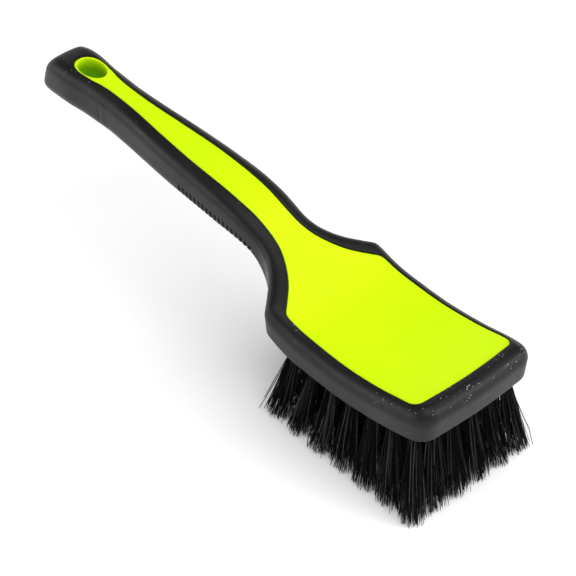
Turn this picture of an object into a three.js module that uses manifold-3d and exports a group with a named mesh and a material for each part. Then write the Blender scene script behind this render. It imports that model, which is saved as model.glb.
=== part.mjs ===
// Short-handled wheel brush: a moulded core, a soft grip and bumper moulded around it,
// and a block of bristle tufts. Millimetres, +Z up, +X from the hanging end to the front.

import * as THREE from 'three';
import { mergeVertices } from 'three/addons/utils/BufferGeometryUtils.js';
import { TessellateModifier } from 'three/addons/modifiers/TessellateModifier.js';
import Module from 'manifold-3d';

const wasm = await Module();
wasm.setup();

// ---- driving dimensions ----

const bodyLength = 281.5;         // hanging end to the front of the bumper
const slabDepth = 22;            // body depth before the side curve is applied
const gripRound = 6.6;           // rounding of the grip and bumper, seen in plan
const gripRoundDepth = 7.2;      // the same rounding, seen from the side
const lipHeight = 0.5;           // the soft lip stands this far above the core
const mouldGap = 0.3;            // clearance between the core and the soft moulding
const floorDepth = 4.2;          // soft moulding under the core, along the handle
const headTrim = 6.2;            // the head is this much thinner than the slab
const trimStart = 153;           // the slab starts to thin here, towards the head
const headStart = 181;           // full head depth from here on
const baseStart = 190;           // the core reaches the bristle face from here on
const baseRecess = 0.8;          // the bristle face sits this far inside the bumper
const baseFlange = 2.4;          // the core's base spreads this far under the bumper
const flangeTop = 16.5;           // level where that flange ends
const tailSlant = 8;             // the hanging end leans out this far at its underside
const tailLength = 16;

const hangHole = { x: 23.9, halfLength: 8.7, halfWidth: 5.5, wall: 1.0 };

const tuftRows = 7;              // along the head
const tuftColumns = 6;           // across the head
const tuftPitchX = 12.2;
const tuftPitchY = 10.5;
const tuftCentreX = 232.4;
const tuftHoleRadius = 2.8;
const tuftRootRadius = 2.4;
const tuftHoleDepth = 9;
const tuftTipRadius = 5.4;
const tuftSpreadX = 1.165;       // how far the tips fan out from the roots
const tuftSpreadY = 1.23;
const tuftForward = 1;            // the whole fan leans this far towards the front
const tuftSides = 10;

const edgeLimit = 8;             // longest facet edge along X on the curved body
const crossShrink = 0.01;        // makes the splitting look at the X direction only

// ---- side curve: height of the body's top and its depth, along X ----

const topCurve = spline([
  [-8, 75.2], [0, 78.2], [8, 80.3], [18, 81.1], [40, 80.9], [84, 79.4], [113, 78.4], [132, 77.1], [147, 74.3],
  [161.6, 69.1], [171.3, 65.6], [181, 62.1], [190.7, 58.8], [200, 56.6], [210, 55.7],
  [229.5, 55.6], [249, 58], [264.5, 61.5], [284, 66],
]);

const depthCurve = spline([
  [-4, 0.98], [26, 1.02], [55, 0.99], [84, 0.95], [113, 0.905], [132, 0.87], [147, 0.8],
  [160, 0.79], [172, 0.91], [184, 1.02], [196, 1.08], [214, 1.02], [240, 1.01], [262, 1.05], [286, 1.1],
]);

// ---- plan outlines: half widths along X, mirrored about the XZ plane ----

function bodyOutline() {
  const side = new THREE.Shape();
  side.moveTo(0, 0);
  side.splineThru(points([[0.4, 4.6], [2.6, 8.6], [7.6, 11], [17, 12], [30, 10.7], [48, 10.3]]));
  side.splineThru(points([
    [65, 11.3], [94, 13.5], [123, 14.7], [142, 14.6], [156, 14.1], [163, 14.9], [169, 17.4],
    [174.2, 21.4], [178.8, 26.4], [183, 31], [189, 33.2],
  ]));
  side.splineThru(points([[210, 33.9], [235, 34], [262, 33.6], [271, 33]]));
  side.bezierCurveTo(276.8, 32.4, 280, 29.6, 280.4, 24);
  side.splineThru(points([[281.1, 12], [bodyLength, 0]]));
  return mirrored(side, 3);
}

function panelOutline() {
  const side = new THREE.Shape();
  side.moveTo(14.1, 0);
  side.bezierCurveTo(14.1, 4, 17, 6.5, 23.5, 6.5);
  side.splineThru(points([
    [31.5, 5.9], [38, 4.9], [46, 4.4], [62, 4.7], [84, 6.3], [108, 7.7], [135, 7.7], [152, 7.1], [163, 7.9],
    [171.5, 10.8], [181, 16.9], [188.6, 24.6],
  ]));
  side.bezierCurveTo(191, 27.2, 191.4, 28.5, 195.5, 28.5);
  side.splineThru(points([[215, 28.6], [240, 28.7], [265.5, 28.5]]));
  side.bezierCurveTo(269.2, 28.4, 270.8, 27.2, 271.2, 24.6);
  side.splineThru(points([[272.2, 12], [272.6, 0]]));
  return mirrored(side, 3);
}

// ---- helpers ----

function points(pairs) {
  return pairs.map(([x, y]) => new THREE.Vector2(x, y));
}

function spline(pairs) {
  return new THREE.SplineCurve(points(pairs));
}

// The curve's value at x, by bisection along the curve.
function valueAt(curve, x) {
  let low = 0;
  let high = 1;
  for (let i = 0; i < 26; i++) {
    const middle = (low + high) / 2;
    if (curve.getPoint(middle).x < x) {
      low = middle;
    } else {
      high = middle;
    }
  }
  return curve.getPoint(low).y;
}

function mirrored(side, divisions) {
  const half = side.getPoints(divisions);
  const other = half.slice(1, -1).reverse().map((p) => new THREE.Vector2(p.x, -p.y));
  return half.concat(other).reverse();
}

// Outline moved outwards along its own normals.
function grown(outline, distance) {
  const count = outline.length;
  return outline.map((p, i) => {
    const before = outline[(i + count - 1) % count];
    const after = outline[(i + 1) % count];
    const along = after.clone().sub(before).normalize();
    return new THREE.Vector2(p.x + along.y * distance, p.y - along.x * distance);
  });
}

function ellipse(x, halfLength, halfWidth) {
  return new THREE.EllipseCurve(x, 0, halfLength, halfWidth).getPoints(28).slice(0, -1);
}

function solid(geometry) {
  geometry.deleteAttribute('normal');
  geometry.deleteAttribute('uv');
  const merged = mergeVertices(geometry, 1e-4);
  return new wasm.Manifold(new wasm.Mesh({
    numProp: 3,
    vertProperties: new Float32Array(merged.attributes.position.array),
    triVerts: new Uint32Array(merged.index.array),
  }));
}

function slab(outline, low, high) {
  const geometry = new THREE.ExtrudeGeometry(new THREE.Shape(outline), {
    depth: high - low,
    bevelEnabled: false,
  });
  return solid(geometry.translate(0, 0, low));
}

function roundedSlab(outline) {
  const geometry = new THREE.ExtrudeGeometry(new THREE.Shape(outline), {
    depth: slabDepth - 2 * gripRoundDepth,
    bevelEnabled: true,
    bevelThickness: gripRoundDepth,
    bevelSize: gripRound,
    bevelOffset: -gripRound,
    bevelSegments: 4,
  });
  return solid(geometry.translate(0, 0, gripRoundDepth));
}

// A block across the whole width, from a side outline in X and Z.
function crossBlock(pairs) {
  const geometry = new THREE.ExtrudeGeometry(new THREE.Shape(points(pairs)), {
    depth: 120,
    bevelEnabled: false,
  });
  return solid(geometry.rotateX(Math.PI / 2).translate(0, 60, 0));
}

// Follows the side curve: a level of slabDepth lands on the top curve.
function onCurve(x, level) {
  return valueAt(topCurve, x) - (slabDepth - level) * valueAt(depthCurve, x);
}

function curvedGeometry(body) {
  const { vertProperties, triVerts } = body.getMesh();
  const flat = new THREE.BufferGeometry();
  flat.setAttribute('position', new THREE.BufferAttribute(new Float32Array(vertProperties), 3));
  flat.setIndex(Array.from(triVerts));
  const soup = flat.toNonIndexed().scale(1, crossShrink, crossShrink);
  const split = new TessellateModifier(edgeLimit, 12).modify(soup);
  const fine = mergeVertices(split.scale(1, 1 / crossShrink, 1 / crossShrink), 1e-4);
  const position = fine.attributes.position;
  for (let i = 0; i < position.count; i++) {
    const x = position.getX(i);
    const level = position.getZ(i);
    const lean = tailSlant * Math.max(0, 1 - x / tailLength) * (1 - level / slabDepth);
    position.setXYZ(i, x - lean, position.getY(i), onCurve(x, level));
  }
  fine.computeVertexNormals();
  return fine;
}

function named(name, geometry, material) {
  const mesh = new THREE.Mesh(geometry, material);
  mesh.name = name;
  return mesh;
}

// ---- tuft layout ----

function tuftSites() {
  const sites = [];
  for (let row = 0; row < tuftRows; row++) {
    for (let column = 0; column < tuftColumns; column++) {
      const alongX = (row - (tuftRows - 1) / 2) * tuftPitchX;
      const alongY = (column - (tuftColumns - 1) / 2) * tuftPitchY;
      sites.push({
        name: `tuft_r${row + 1}_c${column + 1}`,
        x: tuftCentreX + alongX,
        y: alongY,
        leanX: alongX * (tuftSpreadX - 1) + tuftForward,
        leanY: alongY * (tuftSpreadY - 1),
      });
    }
  }
  return sites;
}

function tuftHoleTop(x) {
  const scale = valueAt(depthCurve, x);
  return headTrim + baseRecess + tuftHoleDepth / scale;
}

function tuftHole(site) {
  const height = tuftHoleTop(site.x) + 5;
  const geometry = new THREE.CylinderGeometry(tuftHoleRadius, tuftHoleRadius, height, tuftSides);
  geometry.rotateX(Math.PI / 2).translate(site.x, site.y, height / 2 - 5);
  return solid(geometry);
}

// ---- the sub-parts ----

const plan = bodyOutline();
const panel = panelOutline();
const coreTop = slabDepth - lipHeight;
const headBase = headTrim + baseRecess;
const holeOutline = ellipse(hangHole.x, hangHole.halfLength, hangHole.halfWidth);
// Everything below the thinner head.
function belowHead() {
  return crossBlock([[trimStart, -8], [320, -8], [320, headTrim], [headStart, headTrim], [trimStart, -1.3]]);
}

// Everything below the core: it reaches the underside round the hang hole and in the head,
// and stays inside the soft moulding along the handle.
function belowCore(gap) {
  const liningEnd = hangHole.x + hangHole.halfLength + hangHole.wall + gap;
  return crossBlock([
    [-20, -12], [320, -12], [320, headBase - 8 * Math.sign(gap)],
    [baseStart - gap, headBase - 8 * Math.sign(gap)], [baseStart - gap, headBase],
    [headStart, headTrim + floorDepth - gap], [trimStart, floorDepth - gap],
    [liningEnd, floorDepth - gap], [liningEnd, 0.4 - 8 * Math.sign(gap)],
    [-20, 0.4 - 8 * Math.sign(gap)],
  ]);
}

// The wider base that holds the tufts, hidden by the bumper's lip.
function flange(gap) {
  const start = baseStart + 1 - gap;
  const zone = crossBlock([[start, -20], [320, -20], [320, 40], [start, 40]]);
  return slab(grown(panel, baseFlange + gap), headBase - 13 * Math.sign(gap), flangeTop + gap).intersect(zone);
}

function makeCore() {
  let body = slab(panel, -6, coreTop).subtract(belowCore(0)).add(flange(0));
  body = body.subtract(slab(holeOutline, -8, slabDepth + 2));
  for (const site of tuftSites()) {
    body = body.subtract(tuftHole(site));
  }
  return body;
}

function makeOvermould() {
  const pocket = slab(grown(panel, mouldGap), -7, slabDepth + 4)
    .subtract(belowCore(mouldGap))
    .add(flange(mouldGap));
  return roundedSlab(plan).subtract(belowHead()).subtract(pocket);
}

// A tuft: a straight root in its hole, then a fan that leans outwards to a level tip.
function tuftGeometry(site) {
  const rootTop = onCurve(site.x, tuftHoleTop(site.x)) - 1.4;
  const mouth = onCurve(site.x, headBase) - 2.4;
  const rings = [[0, 0], [tuftTipRadius, 0]];
  for (const share of [0.33, 0.66, 1]) {
    const width = tuftTipRadius + (tuftRootRadius - tuftTipRadius) * share;
    rings.push([width, mouth * share]);
  }
  rings.push([tuftRootRadius, rootTop], [0, rootTop]);
  const geometry = new THREE.LatheGeometry(points(rings), tuftSides);
  geometry.rotateX(Math.PI / 2).rotateZ(Math.PI / 2);
  const position = geometry.attributes.position;
  for (let i = 0; i < position.count; i++) {
    const share = Math.max(0, 1 - position.getZ(i) / mouth);
    const lean = share ** 1.25;
    position.setX(i, position.getX(i) + site.x + site.leanX * lean);
    position.setY(i, position.getY(i) + site.y + site.leanY * lean);
  }
  geometry.deleteAttribute('normal');
  geometry.deleteAttribute('uv');
  const merged = mergeVertices(geometry, 1e-4);
  merged.computeVertexNormals();
  return merged;
}

const limePlastic = new THREE.MeshStandardMaterial({ color: 0xdcf60a, roughness: 0.5, metalness: 0 });
const softBlack = new THREE.MeshStandardMaterial({ color: 0x232524, roughness: 0.8, metalness: 0 });
const bristleBlack = new THREE.MeshStandardMaterial({ color: 0x141516, roughness: 0.6, metalness: 0 });

const brush = new THREE.Group();
brush.add(named('core', curvedGeometry(makeCore()), limePlastic));
brush.add(named('grip_overmould', curvedGeometry(makeOvermould()), softBlack));
for (const site of tuftSites()) {
  brush.add(named(site.name, tuftGeometry(site), bristleBlack));
}

const box = new THREE.Box3().setFromObject(brush);
brush.position.x = -(box.min.x + box.max.x) / 2;

export default brush;
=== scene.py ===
"""Wheel brush: the looks of a short-handled brush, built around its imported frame.

Lengths in the plan and side curves are millimetres from the hanging end of the handle.
"""

import math
import random

import bmesh
import bpy
import numpy as np
from bpy.props import FloatProperty, FloatVectorProperty, IntProperty, PointerProperty
from bpy.types import Operator, Panel, PropertyGroup
from mathutils import Matrix, Vector
from mathutils.geometry import interpolate_bezier


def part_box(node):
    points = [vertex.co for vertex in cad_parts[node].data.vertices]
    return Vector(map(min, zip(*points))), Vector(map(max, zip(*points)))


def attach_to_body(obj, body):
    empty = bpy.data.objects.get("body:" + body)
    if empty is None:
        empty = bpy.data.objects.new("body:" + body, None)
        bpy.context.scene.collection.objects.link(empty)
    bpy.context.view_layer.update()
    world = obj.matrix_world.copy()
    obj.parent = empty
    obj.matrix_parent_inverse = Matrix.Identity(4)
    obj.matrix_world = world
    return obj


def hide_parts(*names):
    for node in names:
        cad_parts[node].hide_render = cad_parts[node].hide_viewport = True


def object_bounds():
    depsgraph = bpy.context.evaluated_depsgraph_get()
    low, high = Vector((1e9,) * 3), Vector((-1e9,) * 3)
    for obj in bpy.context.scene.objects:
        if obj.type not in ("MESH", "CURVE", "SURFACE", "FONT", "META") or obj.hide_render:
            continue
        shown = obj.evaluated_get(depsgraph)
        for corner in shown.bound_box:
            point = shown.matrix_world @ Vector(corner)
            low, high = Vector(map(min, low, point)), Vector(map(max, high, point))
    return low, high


bl_info = {
    "name": "Wheel brush",
    "version": (1, 0, 0),
    "blender": (4, 5, 0),
    "location": "View3D > Sidebar > Brush",
    "description": "Builds the core, soft grip, bristle tufts and stage of a wheel brush",
    "category": "Add Mesh",
}

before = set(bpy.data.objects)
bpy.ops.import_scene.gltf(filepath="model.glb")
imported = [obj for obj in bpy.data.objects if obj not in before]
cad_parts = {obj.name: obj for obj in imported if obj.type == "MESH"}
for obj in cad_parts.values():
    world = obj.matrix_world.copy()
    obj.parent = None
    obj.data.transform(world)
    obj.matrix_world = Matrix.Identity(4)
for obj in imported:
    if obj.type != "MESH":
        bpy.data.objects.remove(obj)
CAD_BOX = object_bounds()

MM = 0.001
BODY_LENGTH = 281.5
SLAB_DEPTH = 22.0
TRIM_START, HEAD_START, BASE_START = 153.0, 189.0, 190.0
HEAD_TRIM, FLOOR_LEVEL, BASE_LEVEL = 6.2, 4.2, 7.0
FLANGE_LEVEL, FLANGE = 16.5, 2.4
TAIL_SLANT, TAIL_LENGTH = 8.0, 16.0
HOLE_CENTRE, HOLE_LENGTH, HOLE_WIDTH = 23.9, 9.0, 5.75
LINING_END = 33.6
MIDDLE = 100.0
GRIP_ROUND, GRIP_ROUND_DEPTH, FOOT_ROUND = 6.6, 7.2, 0.9
DRAFT_HEIGHT, LIP_FOOT, LIP_DROP, LIP_TURN = 8.6, 20.4, 0.25, 0.28
RIBS_START, RIBS_END = 102.0, 153.0
RIB_SLANT, RIB_LEAN, RIB_FADE = 1.4, 0.25, 1.6
PANEL_STEP, STEP_WIDTH, STEP_DEPTH = 41.5, 0.8, 0.2
LIP_GAP, MOULD_GAP, HOLE_EASE = 0.15, 0.3, 0.35
HOLE_RADIUS, HOLE_DEPTH, ROOT_RADIUS = 2.8, 9.0, 2.35
TIP_RADIUS, EDGE_TIP_RADIUS = 7.6, 5.3
HOLE_CUT_BELOW = 3.0
FILAMENT_START, FILAMENT_MOUTH = 1.6, 2.4
LEAN_ALONG, LEAN_FORWARD, LEAN_ACROSS = 0.165, 1.0, 0.23
ANCHOR_THICK, ANCHOR_WIDE, ANCHOR_HIGH, ANCHOR_TURN, ANCHOR_EDGE = 0.4, 5.2, 1.7, 20.0, 0.08
ANCHOR_BELOW = 1.1
ROWS, COLUMNS = 7, 6
ROW_PITCH, COLUMN_PITCH, TUFT_CENTRE = 12.2, 10.5, 232.4
FRONT_ROW, SIDE_COLUMN = 265.0, 24.0

# Station numbers: the far end of the hang hole, where the underside's opening closes, where it
# reaches the base and turns along it, and the front of the brush on the middle line.
HOLE_STATION, LINING_STATION, SPINE_STATION = 34, 33, 35
BASE_STATION, BASE_TURN, LAST_STATION = 186, 197, 312
BASE_CORNER = 31.3

# Steps of the grids: round the edges, across the faces and up the walls.
FACE_STEPS, EDGE_STEPS, UNDER_STEPS, HOLE_STEPS = 12, 5, 8, 4
RIM_STEPS, WALL_STEPS, FOOT_STEPS, BOTTOM_STEPS = 18, 5, 12, 5

OFFSET = BODY_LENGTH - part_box("grip_overmould")[1].x / MM

TOP_CURVE = [
    (-8, 75.2), (0, 78.2), (8, 80.3), (18, 81.1), (40, 80.9), (84, 79.4), (113, 78.4),
    (132, 77.1), (147, 74.3), (161.6, 69.1), (171.3, 65.6), (181, 62.1), (190.7, 58.8),
    (200, 56.6), (210, 55.7), (229.5, 55.6), (249, 58), (264.5, 61.5), (284, 66),
]
DEPTH_CURVE = [
    (-4, 0.98), (26, 1.02), (55, 0.99), (84, 0.95), (113, 0.905), (132, 0.87), (147, 0.8),
    (160, 0.79), (172, 0.91), (184, 1.02), (196, 1.08), (214, 1.02), (240, 1.01),
    (262, 1.05), (286, 1.1),
]


# ---- plan outlines of one side, as smooth runs of points ----


def smooth_run(points, steps=24):
    """Points along a smooth curve through all the given points."""
    path = [Vector((x, y)) for x, y in points]
    run = []
    for i in range(len(path) - 1):
        a, b = path[i], path[i + 1]
        before = path[max(i - 1, 0)]
        after = path[min(i + 2, len(path) - 1)]
        curve = interpolate_bezier(a, a + (b - before) / 6, b - (after - a) / 6, b, steps)
        run += [Vector((p.x, p.y)) for p in curve[:-1]]
    return run + [path[-1]]


def corner_run(start, first, second, end, steps=24):
    """Points along one rounded corner, between its two ends."""
    corner = (Vector(point) for point in (start, first, second, end))
    return [Vector((p.x, p.y)) for p in interpolate_bezier(*corner, steps)]


def body_side():
    return joined(
        smooth_run([
            (0, 0), (0.3, 4.8), (1.6, 8.9), (4.8, 11.3), (10.5, 12.1), (18, 12), (30, 10.8),
            (48, 10.3),
        ]),
        smooth_run([
            (48, 10.3), (65, 11.3), (94, 13.5), (123, 14.7), (142, 14.6), (156, 14.1),
            (163, 15.3), (168, 17.7), (173.5, 21.9), (178.6, 27.3), (182.3, 31.6), (184.1, 33.1),
            (186.5, 33.7), (190, 33.9),
        ]),
        smooth_run([(190, 33.9), (210, 34), (235, 34), (262, 33.6), (271, 33)]),
        corner_run((271, 33), (276.8, 32.4), (280, 29.6), (280.4, 24)),
        smooth_run([(280.4, 24), (281.1, 12), (BODY_LENGTH, 0)]),
    )


def panel_side():
    return joined(
        corner_run((14.1, 0), (14.1, 4), (17, 6.5), (23.5, 6.5)),
        smooth_run([
            (23.5, 6.5), (31.5, 5.9), (38, 4.9), (46, 4.4), (62, 4.7), (84, 6.3), (108, 7.7),
            (135, 7.7), (152, 7.1), (163, 7.9), (171.5, 10.8), (181, 16.9), (188.6, 24.6),
        ]),
        corner_run((188.6, 24.6), (191, 27.2), (191.4, 28.5), (195.5, 28.5)),
        smooth_run([(195.5, 28.5), (215, 28.6), (240, 28.7), (265.5, 28.5)]),
        corner_run((265.5, 28.5), (269.2, 28.4), (270.8, 27.2), (271.2, 24.6)),
        smooth_run([(271.2, 24.6), (272.2, 12), (272.6, 0)]),
    )


def joined(*runs):
    path = list(runs[0])
    for run in runs[1:]:
        path += [p for p in run if (p - path[-1]).length > 1e-4]
    return path


class Track:
    """One side of a plan outline, sampled by a station number that marks pin to its points."""

    def __init__(self, path, marks):
        self.points = np.array([[p.x, p.y] for p in path])
        steps = np.hypot(*np.diff(self.points, axis=0).T)
        self.length = np.concatenate([[0.0], np.cumsum(steps)])
        self.stations = [station for station, _ in marks]
        self.places = []
        for _, (x, y) in marks:
            near = np.argmin(np.hypot(self.points[:, 0] - x, self.points[:, 1] - y))
            self.places.append(self.length[near])

    def along(self, distance):
        x = np.interp(distance, self.length, self.points[:, 0])
        y = np.interp(distance, self.length, self.points[:, 1])
        return Vector((float(x), float(y)))

    def out(self, station, distance=0.0):
        """The point at a station, moved outwards by a distance."""
        place = float(np.interp(station, self.stations, self.places))
        point = self.along(place)
        if distance == 0.0:
            return point
        heading = self.along(place + 0.25) - self.along(place - 0.25)
        heading.normalize()
        moved = point + Vector((-heading.y, heading.x)) * distance
        if point.y < 1e-6:
            return Vector((point.x + math.copysign(1.0, point.x - MIDDLE) * distance, 0.0))
        return Vector((moved.x, max(moved.y, 0.0)))

    def distance(self, point):
        """Shortest distance from a plan point to the outline."""
        a, b = self.points[:-1], self.points[1:]
        span = b - a
        t = ((np.array(point) - a) * span).sum(1) / (span**2).sum(1).clip(1e-12)
        nearest = a + span * t.clip(0, 1)[:, None]
        return float(np.hypot(*(nearest - np.array(point)).T).min())


# Each mark pins a station number to a point of the outline; along the grip a station is its X.
BODY_MARKS = [
    (0, (0, 0)), (8, (2.6, 10)), (14, (9.5, 12.1)), (20, (20, 11.9)), (34, (33.5, 10.6)),
    (150, (150, 14.4)), (166, (167, 17.1)), (178, (176.2, 24.6)), (190, (184.8, 32.9)),
    (200, (197, 33.5)), (262, (262, 33.6)), (272, (271, 33)), (280, (278.8, 29.6)),
    (288, (280.4, 24)), (300, (281.1, 12)), (312, (BODY_LENGTH, 0)),
]
PANEL_MARKS = [
    (0, (14.1, 0)), (8, (15.8, 4.3)), (14, (20.4, 6.3)), (20, (26.8, 6.4)), (34, (33.5, 5.6)),
    (150, (150, 7.1)), (166, (170.5, 10.4)), (178, (183.5, 19.2)), (190, (190.4, 26.8)),
    (200, (198, 28.5)), (262, (262, 28.6)), (272, (266.4, 28.5)), (280, (269.8, 27.3)),
    (288, (271.2, 24.6)), (300, (272.2, 12)), (312, (272.6, 0)),
]


def stations(rib_pitch):
    """Station numbers, close together where the grip is ribbed or the outline turns."""
    parts = [
        np.linspace(0, HOLE_STATION, 60, endpoint=False),
        np.linspace(HOLE_STATION, 60, 52, endpoint=False),
        np.linspace(60, RIBS_START - 2, 36, endpoint=False),
        np.arange(RIBS_START - 2, RIBS_END + 2, rib_pitch / 7),
        np.linspace(RIBS_END + 2.2, 204, 70, endpoint=False),
        np.linspace(204, 262, 34, endpoint=False),
        np.linspace(262, 290, 44, endpoint=False),
        np.linspace(290, LAST_STATION, 16),
    ]
    return [float(s) for s in np.concatenate(parts)]


# ---- side curve ----


def curve_table(points):
    run = smooth_run(points)
    return np.array([p.x for p in run]), np.array([p.y for p in run])


TOP_TABLE = curve_table(TOP_CURVE)
DEPTH_TABLE = curve_table(DEPTH_CURVE)


def placed(plan, level):
    """A plan point at a level of the straight slab, laid on the side curve, in metres."""
    scale = np.interp(plan.x, *DEPTH_TABLE)
    height = np.interp(plan.x, *TOP_TABLE) - (SLAB_DEPTH - level) * scale
    lean = TAIL_SLANT * max(0.0, 1 - plan.x / TAIL_LENGTH) * (1 - level / SLAB_DEPTH)
    spot = Vector((plan.x - lean - OFFSET, plan.y, float(height))) * MM
    spot.x = max(spot.x, CAD_BOX[0].x)
    return spot


def towards(a, b, distance):
    gap = b - a
    return a + gap * (distance / max(gap.length, 1e-9))


def share(value, low, high):
    return min(max((value - low) / (high - low), 0.0), 1.0)


def eased(value, low, high):
    t = share(value, low, high)
    return t * t * (3 - 2 * t)


HOLE_PLACE = placed(Vector((HOLE_CENTRE, 0)), SLAB_DEPTH - 0.8)


# ---- mesh helpers ----


def lattice(rows):
    """A grid whose lines are the given rows of points."""
    bm = bmesh.new()
    across, along = len(rows), len(rows[0])
    bmesh.ops.create_grid(bm, x_segments=across - 1, y_segments=along - 1, size=1)
    for vertex in bm.verts:
        i = round((vertex.co.x + 1) / 2 * (across - 1))
        j = round((vertex.co.y + 1) / 2 * (along - 1))
        vertex.co = rows[i][j]
    return bm


def closed_by_mirror(bm, name):
    """Adds the other side of a half model, and checks that the whole is one closed skin."""
    inside = [f for f in bm.faces if all(abs(v.co.y) < 1e-8 for v in f.verts)]
    bmesh.ops.delete(bm, geom=inside, context="FACES")
    bmesh.ops.remove_doubles(bm, verts=bm.verts[:], dist=2e-6)
    everything = bm.verts[:] + bm.edges[:] + bm.faces[:]
    bmesh.ops.mirror(bm, geom=everything, matrix=Matrix(), merge_dist=-1, axis="Y")
    bmesh.ops.remove_doubles(bm, verts=bm.verts[:], dist=4e-6)
    bmesh.ops.dissolve_degenerate(bm, dist=1e-6, edges=bm.edges[:])
    loose = [v for v in bm.verts if not v.link_faces]
    bmesh.ops.delete(bm, geom=loose, context="VERTS")
    bmesh.ops.recalc_face_normals(bm, faces=bm.faces[:])
    rough = [e for e in bm.edges if not e.is_manifold]
    if rough:
        spots = sorted({tuple(round(c * 1000, 1) for c in e.verts[0].co) for e in rough})
        raise RuntimeError(f"{name} has {len(rough)} open edges, at {spots[:14]}")


def add_object(bm, name, material, smooth_angle=40):
    mesh = bpy.data.meshes.new(name)
    bm.to_mesh(mesh)
    bm.free()
    mesh.materials.append(material)
    mesh.shade_smooth()
    mesh.set_sharp_from_angle(angle=math.radians(smooth_angle))
    thing = bpy.data.objects.new(name, mesh)
    bpy.context.scene.collection.objects.link(thing)
    return thing


def attach(thing, node):
    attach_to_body(thing, "root")
    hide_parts(node)


# ---- material helpers ----


class Nodes:
    """Small wrapper that adds and links shader nodes."""

    def __init__(self, name, base, roughness):
        self.material = bpy.data.materials.new(name)
        self.material.use_nodes = True
        self.tree = self.material.node_tree
        self.shader = self.tree.nodes["Principled BSDF"]
        self.shader.inputs["Base Color"].default_value = (*base, 1)
        self.shader.inputs["Roughness"].default_value = roughness
        self.place = self.tree.nodes.new("ShaderNodeTexCoord").outputs["Object"]

    def add(self, kind, inputs=None, **settings):
        node = self.tree.nodes.new(kind)
        for key, value in settings.items():
            setattr(node, key, value)
        for key, value in (inputs or {}).items():
            if isinstance(value, bpy.types.NodeSocket):
                self.tree.links.new(value, node.inputs[key])
            else:
                node.inputs[key].default_value = value
        return node

    def noise(self, scale, detail=2.0, roughness=0.5):
        inputs = {"Scale": scale, "Detail": detail, "Roughness": roughness}
        node = self.add("ShaderNodeTexNoise", {"Vector": self.place, **inputs})
        return node.outputs["Fac"]

    def ramp(self, value, low, high, start=0.0, end=1.0):
        node = self.add(
            "ShaderNodeMapRange",
            {"Value": value, "From Min": low, "From Max": high, "To Min": start, "To Max": end},
        )
        return node.outputs["Result"]

    def maths(self, kind, a, b):
        return self.add("ShaderNodeMath", {0: a, 1: b}, operation=kind).outputs[0]

    def blend(self, factor, a, b):
        node = self.add("ShaderNodeMix", data_type="RGBA")
        for key, value in ((0, factor), (6, a), (7, b)):
            if isinstance(value, bpy.types.NodeSocket):
                self.tree.links.new(value, node.inputs[key])
            else:
                node.inputs[key].default_value = value if key == 0 else (*value, 1)
        return node.outputs[2]

    def bump(self, height, distance, strength=1.0, below=None):
        inputs = {"Height": height, "Distance": distance, "Strength": strength}
        if below:
            inputs["Normal"] = below
        return self.add("ShaderNodeBump", inputs).outputs["Normal"]

    def use(self, socket, value):
        self.tree.links.new(value, self.shader.inputs[socket])


def core_finish(colours):
    n = Nodes("core_plastic_satin", colours.core, 0.42)
    tint = tuple(c * k for c, k in zip(colours.core, (0.93, 0.95, 1.6)))
    skin = n.blend(n.ramp(n.noise(22, 3), 0.35, 0.7), colours.core, tint)
    # Painted shade: the hang hole's wall is painted darker green the deeper it goes. This stands in
    # for the shade inside the hole; the core's plastic is not darker there.
    centred = n.add("ShaderNodeVectorMath", {0: n.place, 1: HOLE_PLACE}, operation="SUBTRACT")
    stretch = (1 / (HOLE_LENGTH * MM), 1 / (HOLE_WIDTH * MM), 0.0)
    ring = n.add(
        "ShaderNodeVectorMath", {0: centred.outputs[0], 1: stretch}, operation="MULTIPLY"
    )
    reach = n.add("ShaderNodeVectorMath", {0: ring.outputs[0]}, operation="LENGTH").outputs["Value"]
    sunk = n.add("ShaderNodeSeparateXYZ", {0: centred.outputs[0]}).outputs["Z"]
    lining = n.maths("MULTIPLY", n.ramp(reach, 1.0, 1.1, 1.0, 0.0), n.ramp(sunk, 0.0, -0.006))
    n.use("Base Color", n.blend(lining, skin, colours.lining))
    scuff = n.maths("MULTIPLY", n.ramp(n.noise(260, 5, 0.7), 0.58, 0.72), 0.08)
    n.use("Roughness", n.maths("ADD", n.ramp(n.noise(60, 4), 0.3, 0.7, 0.38, 0.48), scuff))
    grain = n.bump(n.noise(3200, 2), 0.00003, 0.5)
    n.use("Normal", n.bump(n.noise(38, 2), 0.0002, 0.25, grain))
    n.shader.inputs["Specular IOR Level"].default_value = 0.12
    return n.material


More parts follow.
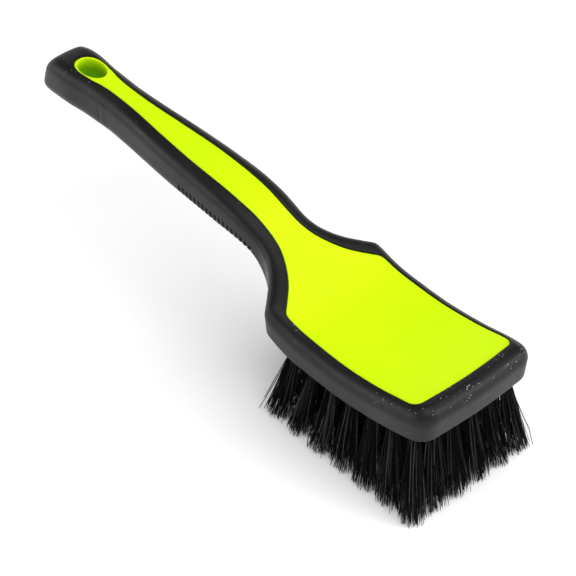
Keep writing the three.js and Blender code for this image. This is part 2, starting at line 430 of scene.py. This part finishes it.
def grip_finish(colours):
    n = Nodes("soft_grip_matt", colours.grip, 0.6)
    paler = tuple(c * 1.8 + 0.003 for c in colours.grip)
    haze = n.ramp(n.noise(34, 5, 0.6), 0.42, 0.75, 0.0, 0.5)
    skin = n.blend(haze, colours.grip, paler)
    spots = n.add("ShaderNodeTexVoronoi", {"Vector": n.place, "Scale": 620.0}, feature="F1")
    speck = n.ramp(spots.outputs["Distance"], 0.12, 0.2, 1.0, 0.0)
    along = n.add("ShaderNodeSeparateXYZ", {0: n.place}).outputs["X"]
    settled = n.ramp(along, 0.1, 0.14, 0.0, 0.16)
    patch = n.ramp(n.maths("ADD", n.noise(30, 3, 0.6), settled), 0.58, 0.68)
    choice = n.ramp(n.noise(900, 0), 0.5, 0.56)
    upward = n.add("ShaderNodeSeparateXYZ", {0: n.add("ShaderNodeNewGeometry").outputs["Normal"]})
    facing = n.ramp(upward.outputs["Z"], 0.1, 0.6)
    chosen = n.maths("MULTIPLY", choice, facing)
    dust = n.maths("MULTIPLY", n.maths("MULTIPLY", speck, patch), chosen)
    n.use("Base Color", n.blend(dust, skin, colours.dust))
    n.use("Roughness", n.ramp(n.noise(48, 4), 0.3, 0.7, 0.36, 0.48))
    grain = n.bump(n.noise(2600, 3, 0.6), 0.00006, 0.7)
    n.use("Normal", n.bump(n.noise(520, 3), 0.00010, 0.5, grain))
    n.shader.inputs["Specular IOR Level"].default_value = 0.22
    n.shader.inputs["Sheen Weight"].default_value = 0.03
    n.shader.inputs["Sheen Roughness"].default_value = 0.5
    return n.material


def bristle_finish(colours):
    n = Nodes("bristle_filament", colours.bristle, 0.4)
    # Painted highlight: filaments with a high weight are painted paler, with a noise varying how
    # much. These pale streaks stand in for the highlights on glossy filaments, whose specular is
    # kept very low.
    highlight_weight = n.add("ShaderNodeAttribute", attribute_name="filament_highlight").outputs["Fac"]
    highlight_fade = n.ramp(n.noise(700, 2), 0.35, 0.65, 0.7, 1.1)
    shine = n.maths("MULTIPLY", highlight_weight, highlight_fade)
    paler = tuple(c * 5 + 0.055 for c in colours.bristle)
    n.use("Base Color", n.blend(shine, colours.bristle, paler))
    n.use("Roughness", n.ramp(highlight_weight, 0.0, 1.0, 0.42, 0.5))
    n.shader.inputs["Specular IOR Level"].default_value = 0.03
    return n.material


def anchor_finish():
    n = Nodes("anchor_wire", (0.52, 0.5, 0.46), 0.32)
    n.shader.inputs["Metallic"].default_value = 1.0
    n.use("Roughness", n.ramp(n.noise(900, 3), 0.3, 0.7, 0.25, 0.45))
    return n.material


# ---- the core ----


def inner_edge(station, edge, growth=0.0):
    """Inner end of a core row: round half the hang hole, then along the middle line."""
    if station <= HOLE_STATION:
        turn = math.pi * (1 - station / HOLE_STATION)
        across = (HOLE_WIDTH + growth) * math.sin(turn) if 0 < station < HOLE_STATION else 0.0
        return Vector((HOLE_CENTRE + (HOLE_LENGTH + growth) * math.cos(turn), across))
    if station < 250:
        return Vector((edge.x, 0.0))
    return Vector((250 + 12 * share(station, 250, LAST_STATION), 0.0))


def core_bottom(x):
    """Level of the core's underside at x: lining, handle spine, neck, then the thick base."""
    rise = HEAD_TRIM + FLOOR_LEVEL
    return float(np.interp(
        x,
        [LINING_END, LINING_END + 0.2, TRIM_START, HEAD_START, BASE_START - 0.2, BASE_START],
        [0.4, FLOOR_LEVEL, FLOOR_LEVEL, rise, rise, BASE_LEVEL],
    ))


def core_rows(settings):
    """Half of the core, one row for each station: across the face, down the side and back."""
    panel = Track(panel_side(), PANEL_MARKS)
    top = SLAB_DEPTH - settings.lip_height / MM
    rows = []
    for station in stations(settings.rib_pitch / MM):
        edge = panel.out(station)
        spread = FLANGE * eased(station, 199, 201)
        base = panel.out(station, spread) if spread else edge
        wall, rim = inner_edge(station, edge), inner_edge(station, edge, HOLE_EASE)
        holed = station <= HOLE_STATION
        step = HOLE_EASE if holed else 0.0
        row = []
        for k in range(HOLE_STEPS + 1):
            turn = math.pi / 2 * k / HOLE_STEPS
            growth = HOLE_EASE * (1 - math.cos(turn))
            drop = step * (1 - math.sin(turn))
            row.append(placed(inner_edge(station, edge, growth), top - drop))
        width = (edge - rim).length
        ease = min(settings.core_edge / MM, 0.5 * width)
        for k in range(1, FACE_STEPS + 1):
            row.append(placed(towards(rim, edge, (width - ease) * k / FACE_STEPS), top))
        for k in range(1, EDGE_STEPS + 1):
            turn = math.pi / 2 * k / EDGE_STEPS
            inset = ease * (1 - math.sin(turn))
            row.append(placed(towards(edge, rim, inset), top - ease * (1 - math.cos(turn))))
        row += [placed(edge, FLANGE_LEVEL + 0.3), placed(base, FLANGE_LEVEL)]
        low = core_bottom(base.x)
        ease_in = min(0.3, 0.08 * (base - wall).length)
        row += [placed(base, low + ease_in), placed(towards(base, wall, ease_in), low)]
        for k in range(1, UNDER_STEPS):
            point = base.lerp(wall, k / UNDER_STEPS)
            row.append(placed(point, core_bottom(point.x)))
        low = core_bottom(wall.x)
        for k in range(7):
            climb = k / 6 if holed else 0.0
            row.append(placed(wall, low + (top - step - low) * climb))
        rows.append(row)
    return rows


def tuft_sites():
    """(node, place in the plan) of every tuft."""
    for row in range(1, ROWS + 1):
        for column in range(1, COLUMNS + 1):
            x = TUFT_CENTRE + (row - (ROWS + 1) / 2) * ROW_PITCH
            y = (column - (COLUMNS + 1) / 2) * COLUMN_PITCH
            yield f"tuft_r{row}_c{column}", Vector((x, y))


def hole_heights(x):
    """(bristle face, top of the hole) at x, in millimetres above the tips."""
    scale = np.interp(x, *DEPTH_TABLE)
    axis = Vector((x, 0))
    return placed(axis, BASE_LEVEL).z / MM, placed(axis, BASE_LEVEL + HOLE_DEPTH / scale).z / MM


def hole_cutters():
    """One object with a cylinder for the hole of every tuft."""
    bm = bmesh.new()
    for _, site in tuft_sites():
        face, top = hole_heights(site.x)
        bottom = face - HOLE_CUT_BELOW
        centre = Vector((site.x - OFFSET, site.y, (top + bottom) / 2)) * MM
        bmesh.ops.create_cone(
            bm, cap_ends=True, segments=28, radius1=HOLE_RADIUS * MM, radius2=HOLE_RADIUS * MM,
            depth=(top - bottom) * MM, matrix=Matrix.Translation(centre),
        )
    mesh = bpy.data.meshes.new("tuft_hole_cutters")
    bm.to_mesh(mesh)
    bm.free()
    cutter = bpy.data.objects.new("tuft_hole_cutters", mesh)
    bpy.context.scene.collection.objects.link(cutter)
    return cutter


def drilled(core):
    """Cuts the blind holes for the tufts into the core's bristle face."""
    cutter = hole_cutters()
    cut = core.modifiers.new("tuft_holes", "BOOLEAN")
    cut.operation, cut.solver, cut.object = "DIFFERENCE", "EXACT", cutter
    bpy.context.view_layer.update()
    graph = bpy.context.evaluated_depsgraph_get()
    mesh = bpy.data.meshes.new_from_object(core.evaluated_get(graph))
    core.modifiers.clear()
    core.data = mesh
    bpy.data.objects.remove(cutter)
    mesh.name = core.name
    mesh.shade_smooth()
    mesh.set_sharp_from_angle(angle=math.radians(40))


# ---- the soft grip and bumper ----


def opening(station, panel):
    """Inner edge of the grip's underside: round the lining, along the middle, round the base."""
    if station <= LINING_STATION:
        return panel.out(station, MOULD_GAP)
    lining = panel.out(LINING_STATION, MOULD_GAP)
    if station <= SPINE_STATION:
        closing = (station - LINING_STATION) / (SPINE_STATION - LINING_STATION)
        return lining.lerp(Vector((lining.x, 0.0)), closing)
    rear = BASE_START - MOULD_GAP
    if station <= BASE_STATION:
        run = (rear - lining.x) * (station - SPINE_STATION) / (BASE_STATION - SPINE_STATION)
        return Vector((lining.x + run, 0.0))
    if station <= BASE_TURN:
        across = BASE_CORNER * (station - BASE_STATION) / (BASE_TURN - BASE_STATION)
        return Vector((rear, across))
    corner = Vector((rear, BASE_CORNER))
    return corner.lerp(panel.out(station, FLANGE + MOULD_GAP), share(station, BASE_TURN, 200))


def rim_level(inset):
    """Height of the rounded top edge at a distance in from the outline."""
    run = min(max(1 - inset / GRIP_ROUND, 0.0), 1.0)
    return SLAB_DEPTH - GRIP_ROUND_DEPTH * (1 - math.sqrt(1 - run * run))


def grip_bottom(x):
    """Level of the grip's underside at x, higher under the head."""
    return max(float(np.interp(x, [TRIM_START, HEAD_START], [-1.3, HEAD_TRIM])), 0.0)


def floor_top(x, station):
    """Level of the top of the soft layer under the core."""
    level = grip_bottom(x) + FLOOR_LEVEL - MOULD_GAP
    return level + (FLANGE_LEVEL + MOULD_GAP - level) * share(station, 196, 199)


def rib_groove(x, pitch):
    """0 on a rib's crest or off the ribbed length, 1 at the bottom of a groove."""
    if not RIBS_START < x < RIBS_END:
        return 0.0
    part = ((x - RIBS_START) / pitch) % 1.0
    return math.sin(math.pi * part / 0.5) ** 0.4 if part < 0.5 else 0.0


def step_groove(x):
    """1 in the middle of the shallow line across the grip, near 0 away from it."""
    return math.exp(-(((x - PANEL_STEP) / STEP_WIDTH) ** 2))


def grip_rows(settings):
    """Half of the grip, one row for each station: up the inside, over the rim and under."""
    body = Track(body_side(), BODY_MARKS)
    panel = Track(panel_side(), PANEL_MARKS)
    pitch, rib_depth = settings.rib_pitch / MM, settings.rib_depth / MM
    rows = []
    for station in stations(pitch):
        edge, lip = body.out(station), panel.out(station, LIP_GAP)
        inner, wall = opening(station, panel), panel.out(station, MOULD_GAP)
        head = eased(edge.x, TRIM_START, BASE_START)
        thin = eased(edge.x, TRIM_START - 2, TRIM_START + 16)
        low = grip_bottom(edge.x)
        low_round = GRIP_ROUND + (FOOT_ROUND - GRIP_ROUND) * thin
        low_rise = GRIP_ROUND_DEPTH + (FOOT_ROUND - GRIP_ROUND_DEPTH) * thin
        ridge = SLAB_DEPTH - GRIP_ROUND_DEPTH
        step = STEP_DEPTH * step_groove(edge.x)

        row = [
            placed(inner, grip_bottom(inner.x)),
            placed(inner, floor_top(inner.x, station)),
            placed(wall, floor_top(wall.x, station)),
            placed(lip, LIP_FOOT),
            placed(lip, rim_level(body.distance(lip)) - LIP_DROP),
        ]
        width = (edge - lip).length
        for inset, drop in ((0.08, 0.08), (LIP_TURN, 0.0)):
            point = towards(lip, edge, inset)
            row.append(placed(point, rim_level(body.distance(point)) - drop))
        for k in range(1, RIM_STEPS + 1):
            inset = (width - LIP_TURN) * (1 - math.sin(math.pi / 2 * k / RIM_STEPS))
            point = towards(edge, lip, inset)
            row.append(placed(point, rim_level(body.distance(point) if k < RIM_STEPS else 0.0)))
        for k in range(1, WALL_STEPS + 1):
            level = ridge + (low + low_rise - ridge) * k / WALL_STEPS
            draft = settings.head_draft / MM * head * share(ridge - level, 0, DRAFT_HEIGHT)
            above = level - low - low_rise
            slant = edge.x - RIB_SLANT - RIB_LEAN * above
            groove = rib_depth * rib_groove(slant, pitch) * share(RIB_FADE - above, 0, RIB_FADE)
            row.append(placed(body.out(station, -(draft + step + groove)), level))
        draft = settings.head_draft / MM * head * share(ridge - low - low_rise, 0, DRAFT_HEIGHT)
        for k in range(1, FOOT_STEPS + 1):
            turn = math.pi / 2 * k / FOOT_STEPS
            slant = edge.x - RIB_SLANT * (1 - k / FOOT_STEPS)
            groove = rib_depth * rib_groove(slant, pitch)
            inset = low_round * (1 - math.cos(turn)) + draft + (step + groove) * math.cos(turn)
            level = low + low_rise * (1 - math.sin(turn)) + (step + groove) * math.sin(turn)
            row.append(placed(body.out(station, -inset), level))
        last = body.out(station, -(low_round + draft))
        for k in range(1, BOTTOM_STEPS + 1):
            point = last.lerp(inner, k / BOTTOM_STEPS)
            ribbed = k < BOTTOM_STEPS or inner.y == 0
            dip = rib_depth * rib_groove(point.x, pitch) if ribbed else 0.0
            dip += STEP_DEPTH * step_groove(point.x)
            row.append(placed(point, grip_bottom(point.x) + dip))
        if inner.y == 0:
            row[0] = row[-1].copy()
        rows.append(row)
    return rows


# ---- bristle tufts ----


def filament_points(site, rng, settings, stray):
    """Points down one filament, from inside its hole to its tip, in metres."""
    face, top = hole_heights(site.x)
    start, mouth = top - FILAMENT_START, face - FILAMENT_MOUTH
    across, turn = math.sqrt(rng.random()), rng.uniform(0, 2 * math.pi)
    ray = Vector((math.cos(turn), math.sin(turn)))
    lean = Vector(
        ((site.x - TUFT_CENTRE) * LEAN_ALONG + LEAN_FORWARD, site.y * LEAN_ACROSS)
    )
    root = ray * across * ROOT_RADIUS
    reach = Vector((TIP_RADIUS, TIP_RADIUS))
    if site.x > FRONT_ROW and ray.x > 0:
        reach.x = EDGE_TIP_RADIUS
    if abs(site.y) > SIDE_COLUMN and ray.y * site.y > 0:
        reach.y = EDGE_TIP_RADIUS
    tip = ray * reach * across * rng.uniform(0.8, 1.0)
    tip += Vector((rng.gauss(0, 0.45), rng.gauss(0, 0.45)))
    if stray:
        tip += lean.normalized() * rng.uniform(1.5, 5.0)
    end = rng.uniform(0.2, 0.9) + max(0.0, rng.gauss(0, settings.tip_ragged / MM))
    end += 0.5 * across**2
    bow = Vector((rng.gauss(0, 0.6), rng.gauss(0, 0.6)))
    points = [Vector((*(site + root), start)), Vector((*(site + root), mouth))]
    for k in range(1, 6):
        part = k / 5
        offset = root.lerp(tip, part**1.15) + lean * part**1.25
        offset += bow * math.sin(math.pi * part)
        points.append(Vector((*(site + offset), mouth + (end - mouth) * part)))
    low, high = CAD_BOX
    margin = settings.filament_width
    for point in points:
        point.x = min(max((point.x - OFFSET) * MM, low[0] + margin), high[0] - margin)
        point.y = min(max(point.y * MM, low[1] + margin), high[1] - margin)
        point.z = max(point.z * MM, low[2] + margin)
    return points


def tuft_mesh(name, site, rng, settings):
    """One tuft: every filament a thin square wire, with its own weight of painted highlight."""
    curve = bpy.data.curves.new(name, "CURVE")
    curve.dimensions = "3D"
    curve.bevel_depth = settings.filament_width / 2
    curve.bevel_resolution = 0
    curve.use_fill_caps = True
    highlight_weights = []
    for _ in range(settings.filaments):
        points = filament_points(site, rng, settings, rng.random() < settings.stray_share)
        # Painted highlight: a few filaments, picked at random, get a high weight and are painted
        # paler as highlight streaks.
        highlight_weights.append(rng.random() ** 5)
        spline = curve.splines.new("POLY")
        spline.points.add(len(points) - 1)
        width = rng.uniform(0.85, 1.12)
        for k, (spot, point) in enumerate(zip(spline.points, points)):
            spot.co = (*point, 1)
            spot.radius = width * (1.0 if k < len(points) - 1 else 0.7)
    wire = bpy.data.objects.new(name + "_curve", curve)
    bpy.context.scene.collection.objects.link(wire)
    bpy.context.view_layer.update()
    graph = bpy.context.evaluated_depsgraph_get()
    mesh = bpy.data.meshes.new_from_object(wire.evaluated_get(graph))
    bpy.data.objects.remove(wire)
    bpy.data.curves.remove(curve)
    each = len(mesh.vertices) // len(highlight_weights)
    highlight_weight = mesh.attributes.new("filament_highlight", "FLOAT", "POINT")
    highlight_weight.data.foreach_set("value", np.repeat(highlight_weights, each).astype(np.float32))
    bm = bmesh.new()
    bm.from_mesh(mesh)
    bpy.data.meshes.remove(mesh)
    bmesh.ops.remove_doubles(bm, verts=bm.verts[:], dist=1e-6)
    bmesh.ops.recalc_face_normals(bm, faces=bm.faces[:])
    return bm


# ---- the settings ----


class WheelBrushSettings(PropertyGroup):
    lip_height: FloatProperty(
        name="Lip height", description="Height of the soft lip above the core's face",
        default=0.0006, min=0.0, max=0.002, unit="LENGTH",
    )
    core_edge: FloatProperty(
        name="Core edge", description="Radius of the rounded edge of the core's face",
        default=0.0007, min=0.0001, max=0.001, unit="LENGTH",
    )
    rib_pitch: FloatProperty(
        name="Rib pitch", description="Distance between two ribs under the handle",
        default=0.00285, min=0.002, max=0.006, unit="LENGTH",
    )
    rib_depth: FloatProperty(
        name="Rib depth", description="Depth of the grooves between the ribs",
        default=0.0028, min=0.0, max=0.003, unit="LENGTH",
    )
    head_draft: FloatProperty(
        name="Head draft", description="How far the bumper's side slants in towards its foot",
        default=0.0008, min=0.0, max=0.0015, unit="LENGTH",
    )
    filaments: IntProperty(
        name="Filaments", description="Filaments in each tuft", default=135, min=20, max=400,
    )
    filament_width: FloatProperty(
        name="Filament width", description="Diameter of one filament",
        default=0.0004, min=0.0001, max=0.0008, unit="LENGTH",
    )
    tip_ragged: FloatProperty(
        name="Ragged tips", description="Spread of the filament lengths",
        default=0.0013, min=0.0, max=0.004, unit="LENGTH",
    )
    stray_share: FloatProperty(
        name="Stray filaments", description="Share of the filaments that stand out of their tuft",
        default=0.05, min=0.0, max=0.3, subtype="FACTOR",
    )
    seed: IntProperty(name="Seed", description="Start of the random numbers", default=11)


class WheelBrushColours(PropertyGroup):
    # Painted shade: the darker green painted deep inside the hang hole. It stands in for the shade
    # there and is not a colour of the core.
    lining: FloatVectorProperty(
        name="Lining", description="Colour of the core deep inside the hang hole",
        subtype="COLOR", size=3, min=0, max=1, default=(0.17, 0.43, 0.0),
    )
    core: FloatVectorProperty(
        name="Core", description="Colour of the hard plastic core",
        subtype="COLOR", size=3, min=0, max=1, default=(0.58, 0.83, 0.001),
    )
    grip: FloatVectorProperty(
        name="Grip", description="Colour of the soft grip and bumper",
        subtype="COLOR", size=3, min=0, max=1, default=(0.003, 0.0031, 0.003),
    )
    dust: FloatVectorProperty(
        name="Dust", description="Colour of the dust specks on the soft grip",
        subtype="COLOR", size=3, min=0, max=1, default=(0.4, 0.41, 0.4),
    )
    bristle: FloatVectorProperty(
        name="Bristles", description="Colour of the filaments",
        subtype="COLOR", size=3, min=0, max=1, default=(0.001, 0.001, 0.0012),
    )
    floor: FloatVectorProperty(
        name="Floor", description="Colour of the studio floor",
        subtype="COLOR", size=3, min=0, max=1, default=(0.97, 0.97, 0.97),
    )


class WheelBrushStage(PropertyGroup):
    overhead: FloatProperty(
        name="Overhead light", description="Power of the large soft light above", default=76.0,
        min=0.0, max=200.0, unit="POWER",
    )
    left: FloatProperty(
        name="Left light", description="Power of the soft light on the left", default=16.0,
        min=0.0, max=200.0, unit="POWER",
    )
    right: FloatProperty(
        name="Right light", description="Power of the soft light on the right", default=34.0,
        min=0.0, max=200.0, unit="POWER",
    )
    horizon: FloatProperty(
        name="Horizon", description="Brightness of the room at the brush's own height",
        default=1.3, min=0.0, max=4.0,
    )
    ceiling: FloatProperty(
        name="Ceiling", description="Brightness of the room above", default=0.12, min=0.0, max=4.0,
    )


# ---- one operator for each piece ----


class WHEELBRUSH_OT_core(Operator):
    """Build the hard core: handle spine, head panel, hang hole and drilled base"""

    bl_idname = "wheel_brush.core"
    bl_label = "Core"

    def execute(self, context):
        scene = context.scene
        bm = lattice(core_rows(scene.wheel_brush))
        closed_by_mirror(bm, "core_body")
        core = add_object(bm, "core_body", core_finish(scene.wheel_brush_colours))
        drilled(core)
        attach(core, "core")
        return {"FINISHED"}


class WHEELBRUSH_OT_grip(Operator):
    """Build the soft grip, its ribs and the bumper round the head"""

    bl_idname = "wheel_brush.grip"
    bl_label = "Soft grip"

    def execute(self, context):
        scene = context.scene
        bm = lattice(grip_rows(scene.wheel_brush))
        closed_by_mirror(bm, "soft_grip_and_bumper")
        grip = add_object(bm, "soft_grip_and_bumper", grip_finish(scene.wheel_brush_colours))
        attach(grip, "grip_overmould")
        return {"FINISHED"}


class WHEELBRUSH_OT_tufts(Operator):
    """Fill every hole of the base with a splayed tuft of filaments"""

    bl_idname = "wheel_brush.tufts"
    bl_label = "Bristle tufts"

    def execute(self, context):
        scene = context.scene
        finish = bristle_finish(scene.wheel_brush_colours)
        rng = random.Random(scene.wheel_brush.seed)
        for node, site in tuft_sites():
            bm = tuft_mesh(node, site, rng, scene.wheel_brush)
            tuft = add_object(bm, node.replace("tuft", "bristles"), finish, 60)
            attach(tuft, node)
        return {"FINISHED"}


class WHEELBRUSH_OT_anchors(Operator):
    """Put the flat metal anchor that holds each tuft in its hole"""

    bl_idname = "wheel_brush.anchors"
    bl_label = "Tuft anchors"

    def execute(self, context):
        bm = bmesh.new()
        for _, site in tuft_sites():
            _, top = hole_heights(site.x)
            place = Vector((site.x - OFFSET, site.y, top - ANCHOR_BELOW)) * MM
            size = Matrix.Diagonal((ANCHOR_THICK * MM, ANCHOR_WIDE * MM, ANCHOR_HIGH * MM, 1))
            turn = Matrix.Rotation(math.radians(ANCHOR_TURN), 4, "Z")
            bmesh.ops.create_cube(bm, size=1, matrix=Matrix.Translation(place) @ turn @ size)
        bmesh.ops.bevel(
            bm, geom=bm.edges[:], offset=ANCHOR_EDGE * MM, segments=1, affect="EDGES", profile=0.5,
            material=-1,
        )
        anchors = add_object(bm, "tuft_anchors", anchor_finish())
        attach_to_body(anchors, "root")
        return {"FINISHED"}


class WHEELBRUSH_OT_stage(Operator):
    """Set up the pale floor, the soft studio light and the camera"""

    bl_idname = "wheel_brush.stage"
    bl_label = "Studio"

    def execute(self, context):
        scene = context.scene
        self.lay_floor(scene)
        self.light(scene)
        self.place_camera(scene)
        scene.view_settings.view_transform = "Standard"
        scene.view_settings.look = "None"
        return {"FINISHED"}

    def lay_floor(self, scene):
        bm = bmesh.new()
        bmesh.ops.create_grid(bm, x_segments=1, y_segments=1, size=4)
        mesh = bpy.data.meshes.new("studio_floor")
        bm.to_mesh(mesh)
        bm.free()
        n = Nodes("studio_floor_paper", scene.wheel_brush_colours.floor, 0.9)
        n.shader.inputs["Specular IOR Level"].default_value = 0.0
        mesh.materials.append(n.material)
        floor = bpy.data.objects.new("studio_floor", mesh)
        floor.location.z = -0.0002
        scene.collection.objects.link(floor)

    def light(self, scene):
        world = bpy.data.worlds.new("studio_surround")
        world.use_nodes = True
        tree = world.node_tree
        surround = tree.nodes["Background"]
        surround.inputs["Color"].default_value = (1, 1, 1, 1)
        heading = tree.nodes.new("ShaderNodeTexCoord")
        height = tree.nodes.new("ShaderNodeSeparateXYZ")
        fade = tree.nodes.new("ShaderNodeMapRange")
        fade.interpolation_type = "SMOOTHSTEP"
        limits = (0.05, 0.45, scene.wheel_brush_stage.horizon, scene.wheel_brush_stage.ceiling)
        for key, value in zip(("From Min", "From Max", "To Min", "To Max"), limits):
            fade.inputs[key].default_value = value
        tree.links.new(heading.outputs["Generated"], height.inputs[0])
        tree.links.new(height.outputs["Z"], fade.inputs["Value"])
        tree.links.new(fade.outputs["Result"], surround.inputs["Strength"])
        scene.world = world
        stage = scene.wheel_brush_stage
        self.softbox(scene, "overhead_softbox", (0.7, -0.3, 2.2), (3.4, 3.4), stage.overhead)
        self.softbox(scene, "left_softbox", (-1.5, -1.8, 0.5), (2.0, 0.8), stage.left)
        self.softbox(scene, "right_softbox", (1.7, 1.3, 1.0), (1.8, 1.1), stage.right)

    def softbox(self, scene, name, place, size, power):
        light = bpy.data.lights.new(name, "AREA")
        light.shape, light.energy = "RECTANGLE", power
        light.size, light.size_y = size
        lamp = bpy.data.objects.new(name, light)
        lamp.location = place
        lamp.rotation_euler = (-lamp.location).to_track_quat("-Z", "Y").to_euler()
        scene.collection.objects.link(lamp)

    def place_camera(self, scene):
        lens = bpy.data.cameras.new("studio_camera")
        lens.lens, lens.sensor_width = 129.4, 36.0
        lens.clip_start, lens.clip_end = 0.05, 50.0
        camera = bpy.data.objects.new("studio_camera", lens)
        camera.location = (0.5317, -0.4532, 0.6613)
        camera.rotation_euler = (math.radians(90 - 42.62), 0.0, math.radians(48.25))
        scene.collection.objects.link(camera)
        scene.camera = camera


class WHEELBRUSH_PT_panel(Panel):
    bl_label = "Wheel brush"
    bl_space_type = "VIEW_3D"
    bl_region_type = "UI"
    bl_category = "Brush"

    def draw(self, context):
        layout = self.layout
        for group in GROUPS:
            column = layout.column()
            settings = getattr(context.scene, group)
            for key in GROUPS[group].__annotations__:
                column.prop(settings, key)
        for operator in OPERATORS:
            layout.operator(operator.bl_idname)


GROUPS = {
    "wheel_brush": WheelBrushSettings,
    "wheel_brush_colours": WheelBrushColours,
    "wheel_brush_stage": WheelBrushStage,
}
OPERATORS = (
    WHEELBRUSH_OT_core,
    WHEELBRUSH_OT_grip,
    WHEELBRUSH_OT_tufts,
    WHEELBRUSH_OT_anchors,
    WHEELBRUSH_OT_stage,
)


def register():
    for name, group in GROUPS.items():
        bpy.utils.register_class(group)
        setattr(bpy.types.Scene, name, PointerProperty(type=group))
    for operator in OPERATORS:
        bpy.utils.register_class(operator)
    bpy.utils.register_class(WHEELBRUSH_PT_panel)


def unregister():
    bpy.utils.unregister_class(WHEELBRUSH_PT_panel)
    for operator in reversed(OPERATORS):
        bpy.utils.unregister_class(operator)
    for name, group in reversed(GROUPS.items()):
        delattr(bpy.types.Scene, name)
        bpy.utils.unregister_class(group)


def main():
    register()
    bpy.ops.wheel_brush.core()
    bpy.ops.wheel_brush.grip()
    bpy.ops.wheel_brush.tufts()
    bpy.ops.wheel_brush.anchors()
    bpy.ops.wheel_brush.stage()


if __name__ == "__main__":
    main()
